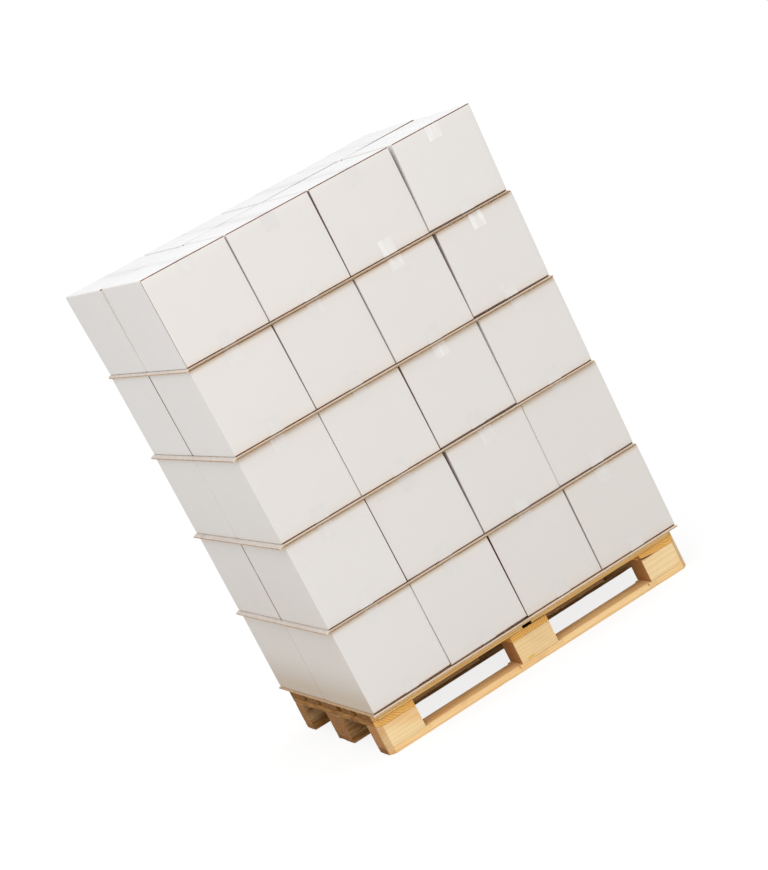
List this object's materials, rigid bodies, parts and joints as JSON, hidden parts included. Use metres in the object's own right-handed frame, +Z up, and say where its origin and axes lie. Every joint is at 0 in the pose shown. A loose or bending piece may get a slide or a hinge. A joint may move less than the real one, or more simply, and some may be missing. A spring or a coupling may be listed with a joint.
{
  "type": "pallet of cartons",
  "caption": "Wooden four-way block pallet loaded with layers of plain white taped cartons, a corrugated slip sheet under each layer; for storage and transport scenes.",
  "frame": {"origin": "on the floor under the middle of the pallet", "axes": "+Z up, X along the pallet's long side, and -Y out of the long front side that the picture shows"},
  "size_m": [1.2375, 0.9226, 1.684],
  "materials": {
    "white_board": "matte",
    "brown_board": "matte",
    "clear_tape": "glossy",
    "board_wood": "rough sawn",
    "block_wood": "rough sawn",
    "weathered_wood": "worn, rough sawn"
  },
  "bodies": {
    "root": {"bottom_boards": "weathered_wood", "blocks_front": "block_wood", "blocks_middle": "block_wood", "blocks_back": "block_wood", "cross_boards": "board_wood", "deck_boards": "board_wood", "slip_sheet_1": "brown_board", "slip_sheet_2": "brown_board", "slip_sheet_3": "brown_board", "slip_sheet_4": "brown_board", "slip_sheet_5": "brown_board", "carton_layer_1_column_1_front": "white_board", "carton_layer_1_column_1_back": "white_board", "carton_layer_1_column_2_front": "white_board", "carton_layer_1_column_2_back": "white_board", "carton_layer_1_column_3_front": "white_board", "carton_layer_1_column_3_back": "white_board", "carton_layer_1_column_4_front": "white_board", "carton_layer_1_column_4_back": "white_board", "carton_layer_2_column_1_front": "white_board", "carton_layer_2_column_1_back": "white_board", "carton_layer_2_column_2_front": "white_board", "carton_layer_2_column_2_back": "white_board", "carton_layer_2_column_3_front": "white_board", "carton_layer_2_column_3_back": "white_board", "carton_layer_2_column_4_front": "white_board", "carton_layer_2_column_4_back": "white_board", "carton_layer_3_column_1_front": "white_board", "carton_layer_3_column_1_back": "white_board", "carton_layer_3_column_2_front": "white_board", "carton_layer_3_column_2_back": "white_board", "carton_layer_3_column_3_front": "white_board", "carton_layer_3_column_3_back": "white_board", "carton_layer_3_column_4_front": "white_board", "carton_layer_3_column_4_back": "white_board", "carton_layer_4_column_1_front": "white_board", "carton_layer_4_column_1_back": "white_board", "carton_layer_4_column_2_front": "white_board", "carton_layer_4_column_2_back": "white_board", "carton_layer_4_column_3_front": "white_board", "carton_layer_4_column_3_back": "white_board", "carton_layer_4_column_4_front": "white_board", "carton_layer_4_column_4_back": "white_board", "carton_layer_5_column_1_front": "white_board", "carton_layer_5_column_1_back": "white_board", "carton_layer_5_column_2_front": "white_board", "carton_layer_5_column_2_back": "white_board", "carton_layer_5_column_3_front": "white_board", "carton_layer_5_column_3_back": "white_board", "carton_layer_5_column_4_front": "white_board", "carton_layer_5_column_4_back": "white_board", "tape_layer_1": "clear_tape", "tape_layer_2": "clear_tape", "tape_layer_3": "clear_tape", "tape_layer_4": "clear_tape", "tape_layer_5": "clear_tape"}
  },
  "joints": []
}
